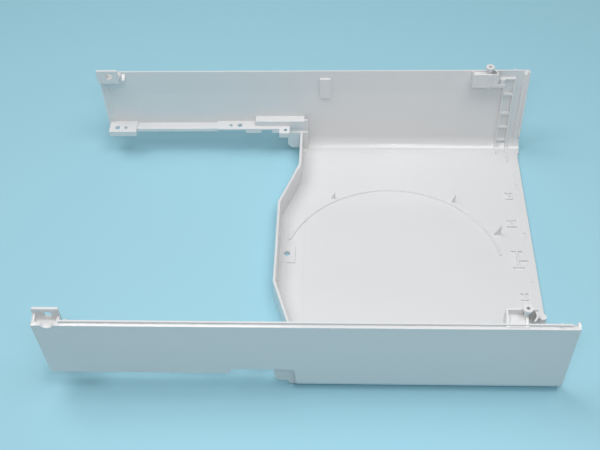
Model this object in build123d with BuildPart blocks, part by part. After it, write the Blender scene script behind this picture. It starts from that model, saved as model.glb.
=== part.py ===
from build123d import *
from math import cos, radians, sin, sqrt, tan
import os

# Injection moulded plastic housing: one moulding, C-shaped in plan and U-shaped in section.
# A floor panel joins two side walls over the right half. On the left both walls run on as free
# arms, whose lower edges stand clear of the ground. X runs along the walls, Y across the housing
# and Z up from the underside. The origin is the middle of the housing at its underside.
# The two sides mirror each other. What sits on a wall is placed by its depth in from the wall's
# foot, and by its distance from the arm's end, from the floor's left edge or from the right end.

# ---- shell ----
length = 440.0  # along the side walls
base_width = 311.4  # across the outer faces, at the underside
rim_height = 99.8  # underside to the outer rim
wall = 3.0  # floor and side walls
lean = 4.6  # how far each wall leans out by the height of the rim
bend_radius = 16.0  # outside, between floor and wall
floor_length = 228.4  # from the left end of the walls' feet to the right end
floor_setback = 2.2  # right edge of the floor, inside the ends of the walls

# ---- rim of each wall: it thickens to a lip, with a thin tongue along its inner edge ----
lip_thickness = 4.2
lip_depth = 26.0  # height over which the wall thickens
tongue_thickness = 1.4
tongue_height = 2.4

# ---- left edge of the floor, and the upright web on it ----
edge_reach = 5.2  # how far the floor reaches left of the walls' feet
edge_bulge = 19.2  # how much further its middle stands out
rear_bulge = (57.7, 110.7)  # from the rear wall's foot: where the edge leans out, and is fully out
front_bulge = (39.7, 99.7)  # from the front wall's foot
web = 2.4
web_top = 28.0

# ---- free arms: a ledge runs along the foot of each, with landings and holes ----
arm_bottom = 27.5
relief_reach = 55.6  # length of the relief in the arm's lower edge, left of the floor
relief_radius = 3.6
ledge = 2.2
ledge_rise = 9.0  # its top, above the arm's bottom
ledge_depth = 13.7
step_down = 2.0  # the plain middle stretch lies lower and is narrower
step_depth = 11.0
step_from = 30.8  # from the arm's end
step_to = 93.1  # from the floor
landing_from = 3.0  # deeper landing at the arm's end
landing_depth = 18.2
tab_depth = 20.7  # screw tab near the floor
tab_length = 10.8
tab_gap = 16.2  # from its right edge to the floor
skirt = 2.0  # lip that hangs from the ledge's inner edge
skirt_drop = 6.3
skirt_gaps = ((94.6, 63.1), (46.4, 35.0))  # stretches without it, from the floor
screw_hole = 5.2  # diameters
pin_hole = 3.8
end_holes_depth = 11.5
end_screw_at = 11.4  # from the arm's end
end_pin_at = 20.3
middle_holes_depth = 8.1
middle_pin_at = 78.8  # from the floor
middle_screw_at = 69.4
tab_hole_depth = 15.5
tab_hole_at = 20.6

# ---- box rib over the ledge, and the closing panel beside the floor ----
box_rib_from = 52.6  # both ends, from the floor
box_rib_to = 0.6
box_rib_depth = 9.6
box_rib_rise = 6.7  # above the ledge
panel = 2.0
panel_depth = 10.3
panel_back = 2.2  # how far its upper part is set back
panel_reach = 13.6  # the panel's left corners, from the floor's edge
panel_step = 10.0
panel_toe = 2.8
panel_heights = (6.4, 10.8)  # of the corners at the step and above it
panel_radius = 2.0

# ---- catch plate at the end of each arm, its heights from the rim ----
catch_from = 0.5  # from the arm's end
catch_length = 22.0
catch_depth = 7.2
catch = 2.3
catch_drop = 6.8  # its foot, below the rim
catch_rise = 9.4  # its top, above the rim
catch_gusset_rise = 3.4  # top of its left gusset; the right one ends level with the rim
catch_bore = 3.7  # radius of the round window
catch_notch = 5.2  # radius of the notch behind it in the rim
catch_bore_at = 12.5  # its middle, from the plate's left edge
catch_bore_rise = 1.7
catch_corner = 1.0  # rounding of the plate's upper corners
stub_gap = 3.8  # from the plate to the short rib beside it
stub = 3.0
stub_depth = 5.2
stub_foot = 3.0  # height of its blunt tip
end_rib_at = 6.2  # upright rib near the arm's end
end_rib = (2.6, 1.2)  # width, depth

# ---- latch plate, screw boss and peg near the right end of each wall, heights from the rim ----
latch_end = 25.0  # the plate's right edge, from the right end
latch_length = 33.6
latch_depth = 11.7
latch = 2.0
latch_drop = 9.6
latch_rise = 6.8
latch_cut = 8.0  # length over which the plate is low, at its right end
latch_cut_drop = 6.0
latch_shelf_rise = 0.8  # floor of the shallow tray left of the boss
latch_rib = 1.0  # how far the upright rib stands out on the plate's inner side
latch_rib_foot = 1.2
boss_from_plate = 17.0  # the boss's axis, from the plate's right edge
boss_depth = 6.7
boss_rise = 13.2
boss_head = (4.1, 2.4)  # radius and thickness of the head
boss_stem = 2.4  # radius
boss_cone = 3.6  # height of the taper from head to stem
boss_bore = 1.5  # radius
boss_bore_depth = 10.0
curb_radius = 8.2  # curved rib around the boss
curb = 1.6
curb_rise = 5.0
curb_from = -36.0  # degrees, from the housing's middle side to the wall's side
curb_to = 50.0
peg_from_plate = 3.4
peg_depth = 8.4
peg_radius = 2.9
peg_drop = 0.4
spike_at = 15.4  # small spike on the rim, from the right end
spike = (1.6, 2.4, 3.2)  # length, depth and height above the rim

# ---- clip pad in the middle of each wall ----
clip_from = 16.2  # from the floor's left end
clip_length = 11.2
clip_drop = (31.2, 6.4)  # foot and top, below the rim
clip = 2.2  # how far it stands out

# ---- ladder of ribs, border and flange by the right end of each wall ----
rail_at = (25.4, 15.0)  # the rails' left sides, from the right end
rail_feet = (16.8, 29.2)  # how far they run in over the floor
rail = 1.6
rail_drop = 5.8
rail_depth = 3.2
rail_rise = 1.2  # their height above the floor
rung_heights = (12.0, 30.0, 48.0, 73.0, 93.0)
rung = 1.8
border = 6.0
border_depth = 1.6
end_flange = 2.2  # along X
end_flange_depth = 3.4  # inward from the wall
end_flange_rise = 1.8

# ---- floor details ----
floor_lip = 8.6  # width of the raised band along the right edge
floor_lip_rise = 0.5
lip_slots = (87.4, 21.0, -40.0)  # Y of each slot in it
lip_slot = (9.0, 2.4)
lip_slot_inset = 2.6  # from the band's left side
lip_slot_depth = 1.2
groove_inset = 3.0  # a shallow line across the floor, right of the walls' feet
groove = 1.2
groove_depth = 0.4
strip_inset = 10.5  # inner edge of the raised strip, from the bulge
strip_rise = 0.9
screw_pad_inset = 9.4  # middle of the screw pad, from the bulge
screw_pad_y = -3.7
screw_pad_size = (17.0, 21.5)
screw_pad_rise = 1.6
floor_hole_shift = (0.6, 0.5)  # from the pad's middle
floor_hole_radius = 3.0
arc_inset = 88.0  # middle of the low arc, from the floor's left end
arc_y = -23.8
arc_radius = 108.0
arc_rib = 3.2
arc_rise = 1.4
arc_slope = 35.0  # degrees that its sides lean in
arc_from = 11.0  # degrees
arc_to = 158.5
# each upright fin beyond the arc: bearing in degrees, gap to the arc, width and height
fins = (
    (120.1, 2.8, 4.2, 9.0),
    (53.6, 4.8, 3.8, 11.0),
    (23.4, 10.0, 7.0, 13.0),
)
fin = 1.4
# each small I-shaped rib: its middle from the right end, its two bars' Y, the bars' length
i_ribs = (
    (18.6, 80.0, 71.9, 7.0),
    (19.7, 42.2, 33.9, 8.6),
    (19.0, 1.8, -18.6, 10.2),
    (18.0, -50.3, -57.6, 7.0),
)
i_rib = 1.6
i_rib_rise = 2.0
link_y = -10.1  # a bar from the long I to the floor's band

# ---- derived ----
half = length / 2
half_base = base_width / 2
tilt = lean / rim_height
skin = wall * sqrt(1 + tilt * tilt)  # wall thickness measured along Y
inner_radius = bend_radius - wall
floor_x = half - floor_length  # left end of the walls' feet
edge_x = floor_x - edge_reach
bulge_x = edge_x - edge_bulge
band_x = half - floor_setback - floor_lip
ledge_top = arm_bottom + ledge_rise
ledge_foot = ledge_top - ledge
ledge_edge = half_base - ledge_depth
ledge_span = (landing_from - half, floor_x - tab_gap)
step_span = (step_from - half, floor_x - step_to)
step_edge = half_base - step_depth
landing_edge = half_base - landing_depth
tab_span = (ledge_span[1] - tab_length, ledge_span[1])
tab_edge = half_base - tab_depth
skirt_foot = ledge_top - skirt_drop
box_rib_span = (floor_x - box_rib_from, floor_x - box_rib_to)
box_rib_edge = half_base - box_rib_depth
box_rib_top = ledge_top + box_rib_rise
panel_edge = half_base - panel_depth
catch_span = (catch_from - half, catch_from + catch_length - half)
catch_edge = half_base - catch_depth
catch_foot = rim_height - catch_drop
catch_top = rim_height + catch_rise
latch_span = (half - latch_end - latch_length, half - latch_end)
latch_edge = half_base - latch_depth
latch_foot = rim_height - latch_drop
latch_top = rim_height + latch_rise
latch_shelf = rim_height + latch_shelf_rise
boss_x = latch_span[1] - boss_from_plate
boss_y = half_base - boss_depth
boss_top = rim_height + boss_rise
peg_top = rim_height - peg_drop
spike_x = half - spike_at
clip_span = (floor_x + clip_from, floor_x + clip_from + clip_length)
clip_foot = rim_height - clip_drop[0]
clip_top = rim_height - clip_drop[1]
rail_top = rim_height - rail_drop
arc_x = floor_x + arc_inset


def outer(z):
    """Distance of a side wall's outer face from the middle, at height z."""
    return half_base + tilt * z


def inner(z):
    """Distance of its inner face."""
    return outer(z) - skin


def seat(z):
    """A depth inside the wall's thickness, where ribs and ledges root."""
    return outer(z) - skin / 2


def slab(x_span, y_span, z_span, mode=Mode.ADD):
    """A rib or pad with straight sides, given by its limits."""
    with Locations((sum(x_span) / 2, sum(y_span) / 2, sum(z_span) / 2)):
        Box(x_span[1] - x_span[0], y_span[1] - y_span[0], z_span[1] - z_span[0], mode=mode)


def upright(x, thickness, *corners):
    """A rib that stands across the housing, given by its corners as (Y, Z)."""
    with BuildSketch(Plane.YZ.offset(x)) as outline:
        with BuildLine():
            Polyline(*corners, close=True)
        make_face()
    extrude(outline.sketch, amount=thickness)


def wrapped(x, thickness, foot, depth, rise, top):
    """A rib that runs down a wall, round the bend and in over the floor by its foot."""
    with BuildSketch(Plane.YZ.offset(x)) as outline:
        with BuildLine():
            Polyline(
                (half_base - foot, wall / 2),
                (half_base - foot, wall + rise),
                (inner(wall) - depth, wall + rise),
                (inner(top) - depth, top),
                (seat(top), top),
                (seat(wall / 2), wall / 2),
                close=True,
            )
        make_face()
        bend = outline.vertices().sort_by_distance((inner(wall) - depth, wall + rise))[0]
        fillet(bend, inner_radius - depth)
        heel = outline.vertices().sort_by_distance((seat(wall / 2), wall / 2))[0]
        fillet(heel, bend_radius - wall / 2)
    extrude(outline.sketch, amount=thickness)


with BuildPart() as housing:
    # U-shaped section of floor and walls, drawn for one side and mirrored further down
    with BuildSketch(Plane.YZ) as section:
        with BuildLine():
            Polyline(
                (0, 0),
                (half_base, 0),
                (outer(rim_height), rim_height),
                (inner(rim_height), rim_height),
                (inner(wall), wall),
                (0, wall),
                close=True,
            )
        make_face()
        fillet(section.vertices().group_by(Axis.Y)[0].sort_by(Axis.X)[-1], bend_radius)
        fillet(section.vertices().sort_by_distance((inner(wall), wall))[0], inner_radius)
    extrude(amount=half, both=True)

    # the wall thickens to a lip along its top
    with BuildSketch(Plane.YZ):
        with BuildLine():
            Polyline(
                (seat(rim_height), rim_height),
                (outer(rim_height) - lip_thickness, rim_height),
                (inner(rim_height - lip_depth), rim_height - lip_depth),
                (seat(rim_height - lip_depth), rim_height - lip_depth),
                close=True,
            )
        make_face()
    extrude(amount=half, both=True)

    # space left of the floor, under the arms
    with BuildSketch():
        with BuildLine():
            Polyline(
                (-length, 0),
                (edge_x, 0),
                (edge_x, panel_edge),
                (floor_x, panel_edge),
                (floor_x, base_width),
                (-length, base_width),
                close=True,
            )
        make_face()
    extrude(amount=arm_bottom, mode=Mode.SUBTRACT)

    # shallow relief in the arm's lower edge
    with BuildSketch(Plane.XZ.offset(-panel_edge)) as relief:
        with BuildLine():
            Polyline(
                (floor_x - relief_reach, 0),
                (floor_x - relief_reach, ledge_foot),
                (floor_x, ledge_foot),
                (floor_x, 0),
                close=True,
            )
        make_face()
        fillet(relief.vertices().group_by(Axis.Y)[-1], relief_radius)
    extrude(amount=-half_base, mode=Mode.SUBTRACT)

    # the floor's right edge lies inside the ends of the walls
    slab(
        (half - floor_setback, half),
        (0, half_base - bend_radius),
        (0, wall),
        mode=Mode.SUBTRACT,
    )

    # tongue on the rim, from the catch plate to the border at the right end
    slab(
        (catch_span[1], half - border),
        (outer(rim_height) - lip_thickness, outer(rim_height) - lip_thickness + tongue_thickness),
        (rim_height - tongue_thickness, rim_height + tongue_height),
    )

    # ledge along the foot of the arm, lower in its plain middle stretch
    slab(
        (ledge_span[0], step_span[0] + ledge / 2),
        (landing_edge, seat(ledge_foot)),
        (ledge_foot, ledge_top),
    )
    slab(step_span, (step_edge, seat(ledge_foot)), (ledge_foot - step_down, ledge_top - step_down))
    slab(
        (step_span[1] - ledge / 2, ledge_span[1]),
        (ledge_edge, seat(ledge_foot)),
        (ledge_foot, ledge_top),
    )
    for riser_x in step_span:
        slab(
            (riser_x - ledge / 2, riser_x + ledge / 2),
            (step_edge, seat(ledge_foot)),
            (ledge_foot - step_down, ledge_top),
        )
    slab(tab_span, (tab_edge, ledge_edge + skirt), (ledge_foot, ledge_top))

    # skirt that hangs from the ledge's inner edge
    gaps = [(floor_x - gap_from, floor_x - gap_to) for gap_from, gap_to in skirt_gaps]
    skirts = (
        (ledge_span[0], step_span[0] + ledge / 2, landing_edge),
        (step_span[0] - ledge / 2, step_span[1] + ledge / 2, step_edge),
        (gaps[0][1], gaps[1][0], ledge_edge),
        (gaps[1][1], tab_span[0] + skirt, ledge_edge),
        (tab_span[0], tab_span[1], tab_edge),
    )
    for skirt_from, skirt_to, skirt_edge in skirts:
        slab(
            (skirt_from, skirt_to),
            (skirt_edge, skirt_edge + skirt),
            (skirt_foot, ledge_top - step_down),
        )
    slab(
        (step_span[0] - ledge / 2, step_span[0] + ledge / 2),
        (landing_edge, seat(skirt_foot)),
        (skirt_foot, ledge_top),
    )
    slab(
        (tab_span[0], tab_span[0] + skirt),
        (tab_edge, ledge_edge + skirt),
        (skirt_foot, ledge_top),
    )

    # holes in the ledge
    holes = (
        (end_screw_at - half, end_holes_depth, screw_hole),
        (end_pin_at - half, end_holes_depth, pin_hole),
        (floor_x - middle_pin_at, middle_holes_depth, pin_hole),
        (floor_x - middle_screw_at, middle_holes_depth, screw_hole),
        (floor_x - tab_hole_at, tab_hole_depth, pin_hole),
    )
    for hole_x, hole_depth, hole_width in holes:
        with Locations((hole_x, half_base - hole_depth, ledge_top)):
            Hole(hole_width / 2, depth=ledge)

    # box rib over the ledge, open from below
    slab(box_rib_span, (box_rib_edge, seat(box_rib_top)), (ledge_foot, box_rib_top))
    slab(
        (box_rib_span[0] + wall, box_rib_span[1] - wall),
        (box_rib_edge + panel, inner(ledge_foot)),
        (arm_bottom, box_rib_top - panel),
        mode=Mode.SUBTRACT,
    )

    # closing panel between the ledge and the floor's corner, set back above the web's height
    with BuildSketch(Plane.XZ.offset(-panel_edge)) as closing:
        with BuildLine():
            Polyline(
                (floor_x + wall, web_top),
                (edge_x - panel_reach, web_top),
                (edge_x - panel_reach, panel_heights[1]),
                (edge_x - panel_step, panel_heights[0]),
                (edge_x - panel_toe, panel_heights[0]),
                (edge_x, wall / 2),
                (floor_x + wall, wall / 2),
                close=True,
            )
        make_face()
        fillet(closing.vertices().group_by(Axis.X)[0].sort_by(Axis.Y)[0], panel_radius)
    extrude(amount=-(panel_back + panel))
    slab(
        (edge_x - panel_reach, floor_x + wall),
        (panel_edge + panel_back, panel_edge + panel_back + panel),
        (web_top - panel, box_rib_top),
    )

    # catch plate at the arm's end, held off the wall by a shelf and two gussets
    with BuildSketch(Plane.XZ.offset(-catch_edge)) as catch_plate:
        with Locations((sum(catch_span) / 2, (catch_foot + catch_top) / 2)):
            Rectangle(catch_span[1] - catch_span[0], catch_top - catch_foot)
        fillet(catch_plate.vertices().group_by(Axis.Y)[-1], catch_corner)
    extrude(amount=-catch)
    slab(catch_span, (catch_edge, seat(catch_foot)), (catch_foot, catch_foot + catch))
    gussets = (
        (catch_span[0], rim_height + catch_gusset_rise),
        (catch_span[1] - catch, rim_height),
    )
    for gusset_x, gusset_top in gussets:
        upright(
            gusset_x,
            catch,
            (catch_edge, catch_foot),
            (catch_edge, gusset_top),
            (catch_edge + catch, gusset_top),
            (seat(rim_height), rim_height),
            (seat(catch_foot), catch_foot),
        )
    bore_x = catch_span[0] + catch_bore_at
    bore_z = rim_height + catch_bore_rise
    with Locations((bore_x, catch_edge + catch / 2, bore_z)):
        Cylinder(catch_bore, 2 * catch, rotation=(90, 0, 0), mode=Mode.SUBTRACT)
    with Locations((bore_x, seat(rim_height), bore_z)):
        Cylinder(catch_notch, 2 * lip_thickness, rotation=(90, 0, 0), mode=Mode.SUBTRACT)

    # short rib beside it, and the upright rib near the arm's end
    upright(
        catch_span[1] + stub_gap - stub / 2,
        stub,
        (seat(catch_foot), catch_foot),
        (half_base - stub_depth, catch_foot),
        (half_base - stub_depth, catch_foot + stub_foot),
        (outer(rim_height) - lip_thickness, rim_height),
        (seat(rim_height), rim_height),
    )
    upright(
        end_rib_at - end_rib[0] / 2 - half,
        end_rib[0],
        (seat(ledge_foot), ledge_foot),
        (inner(ledge_foot) - end_rib[1], ledge_foot),
        (inner(catch_foot) - end_rib[1], catch_foot + catch),
        (seat(catch_foot), catch_foot + catch),
    )

    # latch plate, low at its right end, with a gusset at its left end and a rib on its inner side
    slab(
        (latch_span[0], latch_span[1] - latch_cut),
        (latch_edge, latch_edge + latch),
        (latch_foot, latch_top),
    )
    slab(
        latch_span,
        (latch_edge, latch_edge + latch),
        (latch_foot, rim_height - latch_cut_drop),
    )
    slab(
        (boss_x - latch / 2, boss_x + latch / 2),
        (latch_edge - latch_rib, latch_edge + latch),
        (latch_foot - latch_rib_foot, latch_top),
    )
    upright(
        latch_span[0],
        latch,
        (latch_edge, latch_foot),
        (latch_edge, latch_top),
        (latch_edge + latch, latch_top),
        (seat(rim_height), latch_shelf),
        (seat(latch_foot), latch_foot),
    )

    # shallow tray left of the boss and a deep pocket right of it, parted by a rib
    slab(
        (latch_span[0], boss_x),
        (latch_edge, seat(rim_height)),
        (latch_shelf - latch, latch_shelf),
    )
    slab((boss_x, latch_span[1]), (latch_edge, seat(latch_foot)), (latch_foot, latch_foot + latch))
    upright(
        boss_x - latch / 2,
        latch,
        (latch_edge, latch_foot),
        (latch_edge, latch_top),
        (latch_edge + latch, latch_top),
        (seat(rim_height), latch_shelf),
        (seat(latch_foot), latch_foot),
    )

    # screw boss: a slim stem that tapers out into a round head
    with BuildSketch(Plane.XZ.offset(-boss_y)):
        with BuildLine():
            Polyline(
                (boss_x, latch_foot),
                (boss_x + boss_stem, latch_foot),
                (boss_x + boss_stem, boss_top - boss_head[1] - boss_cone),
                (boss_x + boss_head[0], boss_top - boss_head[1]),
                (boss_x + boss_head[0], boss_top),
                (boss_x, boss_top),
                close=True,
            )
        make_face()
    revolve(axis=Axis((boss_x, boss_y, 0), (0, 0, 1)))
    with Locations((boss_x, boss_y, boss_top)):
        Hole(boss_bore, depth=boss_bore_depth)

    # curved rib round the boss, and the peg beyond it
    with BuildSketch(Plane.XY.offset(latch_foot)):
        with BuildLine():
            CenterArc((boss_x, boss_y), curb_radius, curb_from, curb_to - curb_from)
        trace(line_width=curb)
    extrude(amount=rim_height + curb_rise - latch_foot)
    with Locations((latch_span[1] - peg_from_plate, half_base - peg_depth, (latch_foot + peg_top) / 2)):
        Cylinder(peg_radius, peg_top - latch_foot)

    # small spike on the rim
    slab(
        (spike_x - spike[0] / 2, spike_x + spike[0] / 2),
        (outer(rim_height) - lip_thickness, outer(rim_height) - lip_thickness + spike[1]),
        (rim_height - spike[2], rim_height + spike[2]),
    )

    # clip pad
    upright(
        clip_span[0],
        clip_length,
        (seat(clip_foot), clip_foot),
        (inner(clip_foot) - clip, clip_foot),
        (inner(clip_foot) - clip, clip_top),
        (seat(clip_top), clip_top),
    )

    # ladder of ribs: two rails that run on round the bend, and rungs between them
    for rail_start, rail_foot in zip(rail_at, rail_feet):
        wrapped(half - rail_start, rail, rail_foot, rail_depth, rail_rise, rail_top)
    for height in rung_heights:
        slab(
            (half - rail_at[0], half - rail_at[1]),
            (inner(height) - rail_depth, seat(height)),
            (height - rung / 2, height + rung / 2),
        )

    # border along the right end of the wall, and a thin flange on its very edge
    wrapped(half - border, border, bend_radius, border_depth, floor_lip_rise, rim_height)
    upright(
        half - end_flange,
        end_flange,
        (seat(bend_radius), bend_radius),
        (inner(bend_radius) - end_flange_depth, bend_radius),
        (inner(rim_height) - end_flange_depth, rim_height + end_flange_rise),
        (inner(rim_height) - border_depth, rim_height + end_flange_rise),
        (seat(rim_height), rim_height),
    )

    # the other side
    mirror(about=Plane.XZ)

    # floor out to its bulging left edge, then the web on that edge
    bulge = (
        (floor_x + wall, half_base - rear_bulge[0]),
        (edge_x, half_base - rear_bulge[0]),
        (bulge_x, half_base - rear_bulge[1]),
        (bulge_x, front_bulge[1] - half_base),
        (edge_x, front_bulge[0] - half_base),
        (floor_x + wall, front_bulge[0] - half_base),
    )
    with BuildSketch():
        with BuildLine():
            Polyline(*bulge, close=True)
        make_face()
    extrude(amount=wall)
    with BuildSketch(Plane.XY.offset(wall / 2)):
        with BuildLine():
            web_line = Polyline((edge_x, panel_edge), *bulge[1:-1], (edge_x, -panel_edge))
            offset(web_line, amount=web, side=Side.LEFT, kind=Kind.INTERSECTION)
        make_face()
    extrude(amount=web_top - wall / 2)

    # raised strip along the web
    with BuildSketch(Plane.XY.offset(wall / 2)):
        with BuildLine():
            Polyline(*bulge, close=True)
        make_face()
        with Locations((bulge_x + strip_inset, 0)):
            Rectangle(length, base_width, align=(Align.MIN, Align.CENTER), mode=Mode.SUBTRACT)
    extrude(amount=wall / 2 + strip_rise)

    # screw pad
    pad_x = bulge_x + screw_pad_inset
    pad_thickness = wall + screw_pad_rise
    with Locations((pad_x, screw_pad_y, pad_thickness / 2)):
        Box(*screw_pad_size, pad_thickness)
    with Locations((pad_x + floor_hole_shift[0], screw_pad_y + floor_hole_shift[1], pad_thickness)):
        Hole(floor_hole_radius, depth=pad_thickness)

    # shallow line across the floor
    slab(
        (floor_x + groove_inset - groove / 2, floor_x + groove_inset + groove / 2),
        (front_bulge[0] - half_base, half_base - front_bulge[0]),
        (wall - groove_depth, wall),
        mode=Mode.SUBTRACT,
    )

    # low rib in a wide arc, with sloping sides, swung round from its right end
    arc_out = (cos(radians(arc_from)), sin(radians(arc_from)), 0)
    arc_back = (sin(radians(arc_from)), -cos(radians(arc_from)), 0)
    arc_top = arc_rib / 2 - arc_rise * tan(radians(arc_slope))
    with BuildSketch(Plane((arc_x, arc_y, 0), x_dir=arc_out, z_dir=arc_back)):
        with BuildLine():
            Polyline(
                (arc_radius - arc_rib / 2, wall / 2),
                (arc_radius - arc_rib / 2, wall),
                (arc_radius - arc_top, wall + arc_rise),
                (arc_radius + arc_top, wall + arc_rise),
                (arc_radius + arc_rib / 2, wall),
                (arc_radius + arc_rib / 2, wall / 2),
                close=True,
            )
        make_face()
    revolve(axis=Axis((arc_x, arc_y, 0), (0, 0, 1)), revolution_arc=arc_to - arc_from)

    # upright fins beyond it, each a right-angled triangle
    for bearing, gap, fin_width, fin_height in fins:
        fin_x = arc_x + (arc_radius + gap) * cos(radians(bearing))
        fin_y = arc_y + (arc_radius + gap) * sin(radians(bearing))
        with BuildSketch(Plane.XZ.offset(-fin_y)):
            with BuildLine():
                Polyline(
                    (fin_x, wall / 2),
                    (fin_x, wall + fin_height),
                    (fin_x - fin_width, wall),
                    (fin_x - fin_width, wall / 2),
                    close=True,
                )
            make_face()
        extrude(amount=-fin)

    # raised band along the right edge, with its slots
    slab(
        (band_x, band_x + floor_lip),
        (bend_radius - half_base, half_base - bend_radius),
        (wall / 2, wall + floor_lip_rise),
    )
    with BuildSketch(Plane.XY.offset(wall + floor_lip_rise - lip_slot_depth)):
        with Locations(*[(band_x + lip_slot_inset, slot_y) for slot_y in lip_slots]):
            SlotOverall(lip_slot[0], lip_slot[1], rotation=90)
    extrude(amount=lip_slot_depth, mode=Mode.SUBTRACT)

    # small I-shaped ribs beside the band
    for from_end, bar_high, bar_low, bar_length in i_ribs:
        for bar_y in (bar_high, bar_low):
            slab(
                (half - from_end - bar_length / 2, half - from_end + bar_length / 2),
                (bar_y - i_rib / 2, bar_y + i_rib / 2),
                (wall / 2, wall + i_rib_rise),
            )
        slab(
            (half - from_end - i_rib / 2, half - from_end + i_rib / 2),
            (bar_low, bar_high),
            (wall / 2, wall + i_rib_rise),
        )
    slab(
        (half - i_ribs[2][0], band_x + i_rib),
        (link_y - i_rib / 2, link_y + i_rib / 2),
        (wall / 2, wall + i_rib_rise),
    )

housing.part.label = "housing"
os.makedirs("parts", exist_ok=True)
export_step(housing.part, "parts/housing.step")
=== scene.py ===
# %% [markdown]
# This lesson dresses one moulded plastic housing: a floor panel, two long side walls and the small
# ribs, catches and bosses inside them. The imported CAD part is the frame, so the first step is to load it.
# Every number below is in metres and in the part's own axes: X along the walls, Y across, Z up.

import bmesh
import bpy
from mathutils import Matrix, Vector


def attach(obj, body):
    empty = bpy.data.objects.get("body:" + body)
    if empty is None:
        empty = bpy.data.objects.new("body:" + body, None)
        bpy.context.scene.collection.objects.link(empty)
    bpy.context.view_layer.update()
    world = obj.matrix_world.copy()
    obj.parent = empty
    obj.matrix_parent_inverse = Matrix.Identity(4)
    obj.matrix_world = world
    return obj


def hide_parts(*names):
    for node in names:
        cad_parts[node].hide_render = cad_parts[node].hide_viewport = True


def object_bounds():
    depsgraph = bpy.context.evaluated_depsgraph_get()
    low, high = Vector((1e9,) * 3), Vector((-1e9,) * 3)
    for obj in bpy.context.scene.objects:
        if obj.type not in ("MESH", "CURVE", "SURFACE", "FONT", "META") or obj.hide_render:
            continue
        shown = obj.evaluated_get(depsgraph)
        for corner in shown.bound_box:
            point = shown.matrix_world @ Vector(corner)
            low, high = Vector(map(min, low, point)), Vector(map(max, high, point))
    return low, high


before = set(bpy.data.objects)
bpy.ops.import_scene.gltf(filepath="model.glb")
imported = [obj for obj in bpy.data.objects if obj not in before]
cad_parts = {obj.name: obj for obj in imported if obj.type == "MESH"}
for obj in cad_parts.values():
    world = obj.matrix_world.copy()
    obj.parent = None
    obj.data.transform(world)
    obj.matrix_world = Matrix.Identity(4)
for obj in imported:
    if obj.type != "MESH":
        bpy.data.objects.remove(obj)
cad_low, cad_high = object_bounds()
print("nodes", list(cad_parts), "box", cad_low, cad_high)

# %% [markdown]
# The real housing comes out of its mould with every edge very slightly round, and those edges catch the
# light. A CAD mesh has knife edges. One way to soften them is a shader trick, which leaves the shape
# alone. Here a welded copy of the shape gets a real bevel, so the softness is there from every side. The
# CAD mesh is loose triangles, so the copy is welded before anything else, and triangles that lie in one
# plane are joined. Lengths are in metres here and angles in radians.

# %% A welded copy of the moulding
EDGE_ROUND = 0.0004
FLAT_ANGLE = 0.002
SHARP_TURN = 0.6
WELD_DISTANCE = 1e-6


def welded_shape(node):
    shape = bmesh.new()
    shape.from_mesh(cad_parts[node].data)
    bmesh.ops.remove_doubles(shape, verts=shape.verts, dist=WELD_DISTANCE)
    bmesh.ops.dissolve_limit(
        shape, angle_limit=FLAT_ANGLE, verts=shape.verts, edges=shape.edges, use_dissolve_boundaries=False
    )
    return shape


shape = welded_shape("housing")
print("welded", len(shape.verts), "points", len(shape.faces), "faces")

# %% [markdown]
# Light should glide over the bends and stay even on the flat faces. A facet of a bend is narrow and meets
# its neighbour at a gentle angle, so only those faces are shaded smooth.

# %% Smooth bends, flat panels
BEND_FACET = 0.005


def shade_bends(shape):
    for face in shape.faces:
        gentle = any(FLAT_ANGLE < edge.calc_face_angle(0.0) < SHARP_TURN for edge in face.edges)
        width = 2 * face.calc_area() / face.calc_perimeter()
        face.smooth = gentle and width < BEND_FACET
    return sum(face.smooth for face in shape.faces)


print("bent facets", shade_bends(shape), "of", len(shape.faces))

# %% [markdown]
# A bevel moves the points of every face beside it. In a panel 400 mm long that is made of needle-thin
# triangles, a move of half a millimetre turns some of them over, and they show as dark hairlines. So the
# shape is first cut into small cells, which changes nothing that can be seen, and faces that then have more
# than four sides are split into triangles. The cuts are set a little off the even grid, so that none of them
# runs along an edge of the moulding.

# %% Cells
CELL = 0.012
OFF_EDGE = 0.00037


def cut_in_cells(shape, low, high):
    for axis in range(3):
        across = Vector((0, 0, 0))
        across[axis] = 1
        for step in range(1, int((high[axis] - low[axis]) / CELL) + 1):
            place = across * (low[axis] + step * CELL + OFF_EDGE)
            everything = shape.verts[:] + shape.edges[:] + shape.faces[:]
            bmesh.ops.bisect_plane(
                shape, geom=everything, plane_co=place, plane_no=across, dist=WELD_DISTANCE
            )
    many_sided = [face for face in shape.faces if len(face.verts) > 4]
    bmesh.ops.triangulate(shape, faces=many_sided, ngon_method="BEAUTY")


cut_in_cells(shape, cad_low, cad_high)
print("cells", len(shape.faces))

# %% [markdown]
# A bevel that is wider than the face beside it folds over itself, and Blender's own clamp then narrows
# every bevel of the mesh to suit the tightest spot. So only the edges with room around them are marked
# for the Bevel modifier: those of rim, ledges, web and ribs. The tiny pegs and catches stay crisp.

# %% Round the edges
ROOM = 4 * EDGE_ROUND
ROUND_SEGMENTS = 2


def mark_edges(shape):
    weight = shape.edges.layers.float.new("bevel_weight_edge")
    for edge in shape.edges:
        room = min(near.calc_length() for end in edge.verts for near in end.link_edges)
        edge[weight] = float(edge.calc_face_angle(0.0) > SHARP_TURN and room > ROOM)
    return sum(edge[weight] for edge in shape.edges)


def soft_piece(shape, name):
    mesh = bpy.data.meshes.new(name)
    shape.to_mesh(mesh)
    shape.free()
    piece = bpy.data.objects.new(name, mesh)
    bpy.context.scene.collection.objects.link(piece)
    bevel = piece.modifiers.new("edge_round", "BEVEL")
    bevel.width = EDGE_ROUND
    bevel.segments = ROUND_SEGMENTS
    bevel.limit_method = "WEIGHT"
    bevel.use_clamp_overlap = False
    bevel.miter_outer = "MITER_ARC"
    return piece


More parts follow.
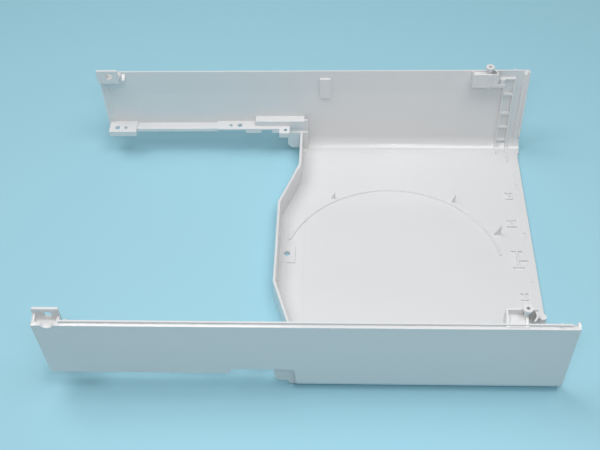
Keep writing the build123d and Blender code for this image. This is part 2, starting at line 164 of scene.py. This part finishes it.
print("edges to round", mark_edges(shape))
moulding = soft_piece(shape, "moulded_housing")
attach(moulding, "root")
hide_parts("housing")
print("bevel", EDGE_ROUND * 1000, "mm")

# %% [markdown]
# The plastic is a white styrene with a fine eroded grain from the mould. Two effects make it up: the grain
# itself, which is bump, and a very faint unevenness of gloss and colour where the melt flowed and cooled.
# Each is a node group with its own inputs, so that the same recipe can serve another moulding. The two
# helpers below keep the recipes short: one starts a group, the other adds a node, with its settings by name
# and its input values by the socket's name, where an underscore stands for a space.

# %% Node helpers
def new_group(name, inputs, outputs):
    group = bpy.data.node_groups.new(name, "ShaderNodeTree")
    for in_out, sockets in (("INPUT", inputs), ("OUTPUT", outputs)):
        for label, kind in sockets.items():
            group.interface.new_socket(label, in_out=in_out, socket_type=kind)
    group.nodes.new("NodeGroupInput").name = "in"
    group.nodes.new("NodeGroupOutput").name = "out"
    return group


def add(tree, kind, **values):
    node = tree.nodes.new(kind)
    for key, value in values.items():
        if hasattr(node, key):
            setattr(node, key, value)
        else:
            node.inputs[key.replace("_", " ")].default_value = value
    return node


# %% [markdown]
# Spark erosion leaves the steel of the mould with tiny pits, and the plastic copies them. They are far too
# small to model, so a fine noise gives a height, which the material later turns into bump.

# %% Mould grain
GRAIN_DETAIL = 3.0
GRAIN_ROUGHNESS = 0.55


def make_grain():
    group = new_group(
        "mould_grain",
        {"Scale": "NodeSocketFloat", "Depth": "NodeSocketFloat"},
        {"Height": "NodeSocketFloat"},
    )
    where = add(group, "ShaderNodeTexCoord")
    pits = add(group, "ShaderNodeTexNoise", Detail=GRAIN_DETAIL, Roughness=GRAIN_ROUGHNESS)
    depth = add(group, "ShaderNodeMath", operation="MULTIPLY")
    links = group.links
    links.new(where.outputs["Object"], pits.inputs["Vector"])
    links.new(group.nodes["in"].outputs["Scale"], pits.inputs["Scale"])
    links.new(pits.outputs["Fac"], depth.inputs[0])
    links.new(group.nodes["in"].outputs["Depth"], depth.inputs[1])
    links.new(depth.outputs[0], group.nodes["out"].inputs["Height"])
    return group


grain_group = make_grain()
print("group", grain_group.name)

# %% [markdown]
# The melt runs along the mould and cools unevenly, which leaves broad, faint clouds in colour and gloss. A
# low noise, stretched along the walls, mixes two whites and moves the roughness a little. A Mix node keeps
# its number, vector and colour sockets side by side, so the colour ones are picked by their place.

# %% Flow and cooling marks
FLOW_STRETCH = (1.0, 2.2, 1.6)
FLOW_SCALE = 9.0
FLOW_DETAIL = 4.0
FLOW_DISTORTION = 0.6
MIX_COLOR_A, MIX_COLOR_B, MIX_COLOR_RESULT = 6, 7, 2


def make_flow():
    group = new_group(
        "flow_marks",
        {
            "Base": "NodeSocketColor",
            "Cooler": "NodeSocketColor",
            "Lowest Roughness": "NodeSocketFloat",
            "Spread": "NodeSocketFloat",
        },
        {"Color": "NodeSocketColor", "Roughness": "NodeSocketFloat"},
    )
    where = add(group, "ShaderNodeTexCoord")
    stretch = add(group, "ShaderNodeMapping", Scale=FLOW_STRETCH)
    broad = add(
        group, "ShaderNodeTexNoise", Scale=FLOW_SCALE, Detail=FLOW_DETAIL, Distortion=FLOW_DISTORTION
    )
    tint = add(group, "ShaderNodeMix", data_type="RGBA")
    rough = add(group, "ShaderNodeMath", operation="MULTIPLY_ADD")
    links = group.links
    links.new(where.outputs["Object"], stretch.inputs["Vector"])
    links.new(stretch.outputs["Vector"], broad.inputs["Vector"])
    links.new(broad.outputs["Fac"], tint.inputs["Factor"])
    links.new(group.nodes["in"].outputs["Base"], tint.inputs[MIX_COLOR_A])
    links.new(group.nodes["in"].outputs["Cooler"], tint.inputs[MIX_COLOR_B])
    links.new(broad.outputs["Fac"], rough.inputs[0])
    links.new(group.nodes["in"].outputs["Spread"], rough.inputs[1])
    links.new(group.nodes["in"].outputs["Lowest Roughness"], rough.inputs[2])
    links.new(tint.outputs[MIX_COLOR_RESULT], group.nodes["out"].inputs["Color"])
    links.new(rough.outputs[0], group.nodes["out"].inputs["Roughness"])
    return group


flow_group = make_flow()
print("group", flow_group.name)

# %% [markdown]
# The material itself stays simple: the groups feed colour, roughness and bump, and the one Principled
# shader holds the plastic's own constant, its refractive index. Real styrene also lets a little light in
# below its surface. The shader leaves that out and treats the plastic as opaque.

# %% White plastic
WHITE = (0.83, 0.82, 0.815, 1.0)
COOLER_WHITE = (0.79, 0.785, 0.79, 1.0)
LOWEST_ROUGHNESS = 0.11
ROUGHNESS_SPREAD = 0.06
GRAIN_SCALE = 1400.0
GRAIN_DEPTH = 1.0
STYRENE_IOR = 1.5
BUMP_STRENGTH = 0.06
BUMP_DISTANCE = 0.00025


def make_plastic():
    material = bpy.data.materials.new("white_styrene")
    material.use_nodes = True
    tree = material.node_tree
    tree.nodes.clear()
    out = add(tree, "ShaderNodeOutputMaterial")
    shader = add(tree, "ShaderNodeBsdfPrincipled", IOR=STYRENE_IOR)
    flow = add(
        tree,
        "ShaderNodeGroup",
        node_tree=flow_group,
        Base=WHITE,
        Cooler=COOLER_WHITE,
        Lowest_Roughness=LOWEST_ROUGHNESS,
        Spread=ROUGHNESS_SPREAD,
    )
    grain = add(tree, "ShaderNodeGroup", node_tree=grain_group, Scale=GRAIN_SCALE, Depth=GRAIN_DEPTH)
    bump = add(tree, "ShaderNodeBump", Strength=BUMP_STRENGTH, Distance=BUMP_DISTANCE)
    links = tree.links
    links.new(flow.outputs["Color"], shader.inputs["Base Color"])
    links.new(flow.outputs["Roughness"], shader.inputs["Roughness"])
    links.new(grain.outputs["Height"], bump.inputs["Height"])
    links.new(bump.outputs["Normal"], shader.inputs["Normal"])
    links.new(shader.outputs[0], out.inputs["Surface"])
    return material


plastic = make_plastic()
moulding.data.materials.clear()
moulding.data.materials.append(plastic)
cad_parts["housing"].data.materials.clear()
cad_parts["housing"].data.materials.append(plastic)
print("material", plastic.name)

# %% [markdown]
# The housing stands on a plain pale sheet of paper. The lamps light it only around the housing, so further
# out a Light Path node shows the camera the colour of lit paper, which hides the edge of the sheet and adds
# no light.

# %% Floor
FLOOR_HALF = 3.0
LIT_REACH = 0.65
FADE_REACH = 1.2
PAPER_COLOR = (0.40, 0.70, 0.81, 1.0)
BACKDROP_COLOR = (0.36, 0.60, 0.70, 1.0)
PAPER_ROUGHNESS = 0.9
PAPER_SPECULAR = 0.1


def fade_to_backdrop(tree, paper):
    place = add(tree, "ShaderNodeTexCoord")
    reach = add(tree, "ShaderNodeVectorMath", operation="LENGTH")
    fade = add(
        tree, "ShaderNodeMapRange", interpolation_type="SMOOTHSTEP", From_Min=LIT_REACH, From_Max=FADE_REACH
    )
    seen = add(tree, "ShaderNodeLightPath")
    share = add(tree, "ShaderNodeMath", operation="MULTIPLY")
    backdrop = add(tree, "ShaderNodeEmission", Color=BACKDROP_COLOR)
    choice = add(tree, "ShaderNodeMixShader")
    tree.links.new(place.outputs["Object"], reach.inputs[0])
    tree.links.new(reach.outputs["Value"], fade.inputs["Value"])
    tree.links.new(fade.outputs["Result"], share.inputs[0])
    tree.links.new(seen.outputs["Is Camera Ray"], share.inputs[1])
    tree.links.new(share.outputs[0], choice.inputs[0])
    tree.links.new(paper.outputs[0], choice.inputs[1])
    tree.links.new(backdrop.outputs[0], choice.inputs[2])
    tree.links.new(choice.outputs[0], tree.nodes["Material Output"].inputs["Surface"])


def make_floor():
    shape = bmesh.new()
    bmesh.ops.create_grid(shape, x_segments=1, y_segments=1, size=FLOOR_HALF)
    mesh = bpy.data.meshes.new("studio_floor")
    shape.to_mesh(mesh)
    shape.free()
    floor = bpy.data.objects.new("studio_floor", mesh)
    bpy.context.scene.collection.objects.link(floor)
    material = bpy.data.materials.new("pale_paper")
    material.use_nodes = True
    paper = material.node_tree.nodes["Principled BSDF"]
    paper.inputs["Base Color"].default_value = PAPER_COLOR
    paper.inputs["Roughness"].default_value = PAPER_ROUGHNESS
    paper.inputs["Specular IOR Level"].default_value = PAPER_SPECULAR
    fade_to_backdrop(material.node_tree, paper)
    mesh.materials.append(material)
    return floor


floor = make_floor()
print("floor", FLOOR_HALF * 2, "m square")

# %% [markdown]
# Soft studio light: one large panel above to the left, one above in front to the right, and a weak, even
# glow from all round. The faces that look up come out lightest and the ones that look at the viewer darker.
# Two thin strips near the viewer draw the bright streaks along the bend between floor and wall.

# %% Lights
def make_panel(name, place, target, width, depth, power):
    lamp = bpy.data.lights.new(name, "AREA")
    lamp.shape = "RECTANGLE"
    lamp.size = width
    lamp.size_y = depth
    lamp.energy = power
    holder = bpy.data.objects.new(name, lamp)
    holder.location = place
    aim = Vector(target) - Vector(place)
    holder.rotation_euler = aim.to_track_quat("-Z", "Y").to_euler()
    bpy.context.scene.collection.objects.link(holder)
    return holder


HOUSING_MIDDLE = (0.05, 0.0, 0.0)
FLOOR_PANEL = (0.1, 0.0, 0.0)
BEND_LEFT = (0.08, 0.15, 0.02)
BEND_RIGHT = (0.12, 0.15, 0.02)

panels = [
    make_panel("key_panel", (-0.45, 0.1, 1.3), HOUSING_MIDDLE, width=0.7, depth=0.7, power=6.5),
    make_panel("top_panel", (0.35, -0.32, 1.4), FLOOR_PANEL, width=0.8, depth=0.5, power=6.5),
    make_panel("strip_left", (-0.05, -0.62, 0.84), BEND_LEFT, width=0.12, depth=0.012, power=0.7),
    make_panel("strip_right", (0.16, -0.62, 0.92), BEND_RIGHT, width=0.14, depth=0.012, power=0.7),
]
print("lights", [panel.name for panel in panels])

# %% [markdown]
# Past the edge of the floor the camera would look into the dim glow that lights the scene. A Light Path
# node shows it the colour of the lit floor there instead, and adds no light, since only rays that come
# straight from the camera see it.

# %% World
AMBIENT_COLOR = (0.90, 0.96, 1.0, 1.0)
AMBIENT_STRENGTH = 0.27


def make_world():
    world = bpy.data.worlds.new("studio_world")
    world.use_nodes = True
    tree = world.node_tree
    glow = tree.nodes["Background"]
    glow.inputs["Color"].default_value = AMBIENT_COLOR
    glow.inputs["Strength"].default_value = AMBIENT_STRENGTH
    backdrop = add(tree, "ShaderNodeBackground", Color=BACKDROP_COLOR)
    seen = add(tree, "ShaderNodeLightPath")
    choice = add(tree, "ShaderNodeMixShader")
    tree.links.new(seen.outputs["Is Camera Ray"], choice.inputs[0])
    tree.links.new(glow.outputs[0], choice.inputs[1])
    tree.links.new(backdrop.outputs[0], choice.inputs[2])
    tree.links.new(choice.outputs[0], tree.nodes["World Output"].inputs["Surface"])
    return world


bpy.context.scene.world = make_world()
bpy.context.scene.view_settings.view_transform = "Standard"
print("world", bpy.context.scene.world.name)

# %% [markdown]
# The camera looks down at the housing from the front, about 48 degrees below level, with a moderately long
# lens. Its turn is given as rotations about X, Y and Z, and its lens and sensor in millimetres.

# %% Camera
CAMERA_PLACE = (0.03228, -0.60427, 0.72158)
CAMERA_TURN = (0.72815, 0.03148, 0.03265)
LENS = 57.265
SENSOR_WIDTH = 36.0
NEAREST = 0.01

lens = bpy.data.cameras.new("camera")
lens.lens = LENS
lens.sensor_width = SENSOR_WIDTH
lens.sensor_fit = "HORIZONTAL"
lens.clip_start = NEAREST
camera = bpy.data.objects.new("camera", lens)
camera.location = CAMERA_PLACE
camera.rotation_euler = CAMERA_TURN
bpy.context.scene.collection.objects.link(camera)
bpy.context.scene.camera = camera
print("camera", CAMERA_PLACE)
